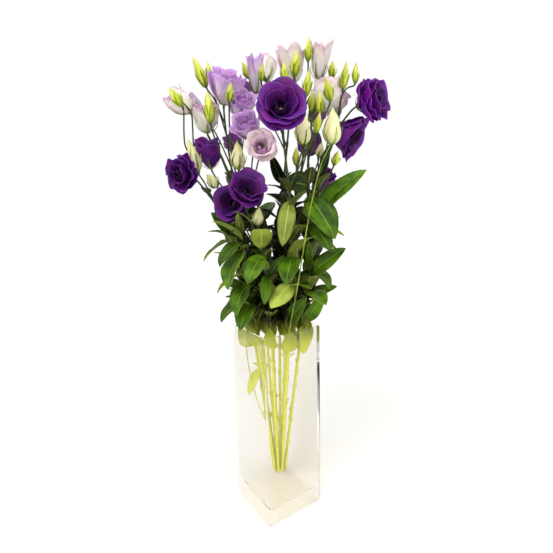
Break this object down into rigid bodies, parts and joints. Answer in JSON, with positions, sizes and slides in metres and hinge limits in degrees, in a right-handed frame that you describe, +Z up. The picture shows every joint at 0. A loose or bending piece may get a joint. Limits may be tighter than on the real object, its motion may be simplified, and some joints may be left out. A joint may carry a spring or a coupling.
{
  "type": "lisianthus flowers in a square glass vase",
  "caption": "Tall square clear glass vase holding a fan of cut lisianthus stems with ruffled blooms, furled buds and oval leaves.",
  "frame": {"origin": "middle of the vase's underside, on the surface that it stands on", "axes": "+Z up along the vase; +X and +Y square to the vase's walls; the bunch shows its best side towards the corner between -X and -Y"},
  "size_m": [0.293, 0.238, 0.7179],
  "materials": {
    "glass": "clear polished",
    "stem": "smooth green stem",
    "leaf": "soft satin leaf",
    "violet": "velvety petal",
    "lilac": "velvety petal",
    "blush": "silky petal",
    "cream": "silky furled petal"
  },
  "bodies": {
    "root": {"vase": "glass", "stem_left": "stem", "stem_left_back": "stem", "stem_back": "stem", "stem_right_back": "stem", "stem_right": "stem", "stem_right_front": "stem", "stem_front_right": "stem", "stem_front": "stem", "stem_left_front": "stem", "stem_middle_left": "stem", "stem_middle_back": "stem", "stem_middle_right": "stem", "violet_bloom_front": "violet", "violet_bloom_low_left": "violet", "violet_bloom_low_front": "violet", "violet_bloom_left": "violet", "violet_bloom_half_left": "violet", "violet_bloom_back": "violet", "violet_bloom_far_right": "violet", "violet_bloom_right": "violet", "violet_bloom_low_right": "violet", "violet_bloom_back_right": "violet", "violet_bloom_back_top": "violet", "violet_bloom_back_far": "violet", "lilac_bloom_top_left": "lilac", "lilac_bloom_left": "lilac", "lilac_bloom_middle": "lilac", "lilac_bloom_front": "lilac", "lilac_bloom_back": "lilac", "blush_bloom_front": "blush", "blush_bloom_far_left": "blush", "blush_bloom_left": "blush", "blush_bud_top": "blush", "blush_bloom_top": "blush", "blush_bloom_right": "blush", "blush_bloom_back": "blush", "cream_bud_front": "cream", "cream_bud_right": "cream", "cream_bud_middle": "cream", "cream_bud_left": "cream", "cream_bud_low_left": "cream", "cream_bud_low_front": "cream", "cream_bud_low_right": "cream", "leaf_upper_right": "leaf", "leaf_broad_right": "leaf", "leaf_round_middle": "leaf", "leaf_pale_middle": "leaf", "leaf_broad_left": "leaf", "leaf_front_left": "leaf", "leaf_low_left": "leaf", "leaf_pointed_low": "leaf", "leaf_pale_low": "leaf", "leaf_right": "leaf", "leaf_low_right": "leaf", "leaf_mouth_right": "leaf", "leaf_mouth_front": "leaf", "leaf_inner_middle": "leaf", "leaf_inner_right": "leaf", "leaf_in_mouth": "leaf"}
  },
  "joints": []
}
